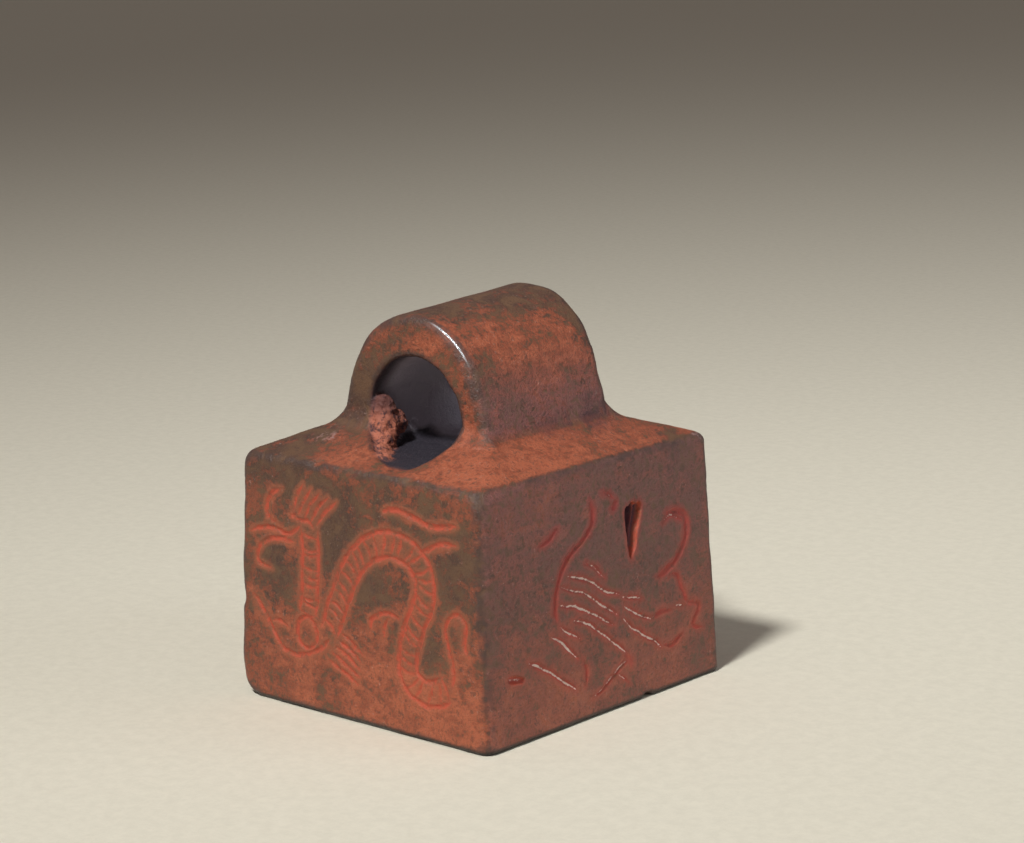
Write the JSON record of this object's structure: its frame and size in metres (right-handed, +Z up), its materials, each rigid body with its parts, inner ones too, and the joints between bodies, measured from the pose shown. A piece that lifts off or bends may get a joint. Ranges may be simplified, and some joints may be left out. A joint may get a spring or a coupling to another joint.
{
  "type": "seal",
  "caption": "Small square cast bronze seal with a hipped top, an arched knob pierced for a cord, and animals incised on its sides.",
  "frame": {"origin": "centre of the box's base, on the surface that the seal stands on", "axes": "+Z up from the stamping face to the knob, +X to the right of the front face, the cord hole runs along Y and the front with the dragon faces -Y"},
  "size_m": [0.0206, 0.0214, 0.0241],
  "materials": {
    "bronze": "worn bronze with red earthy patina and red pigment in the incised lines"
  },
  "bodies": {
    "root": {"seal": "bronze"}
  },
  "joints": []
}
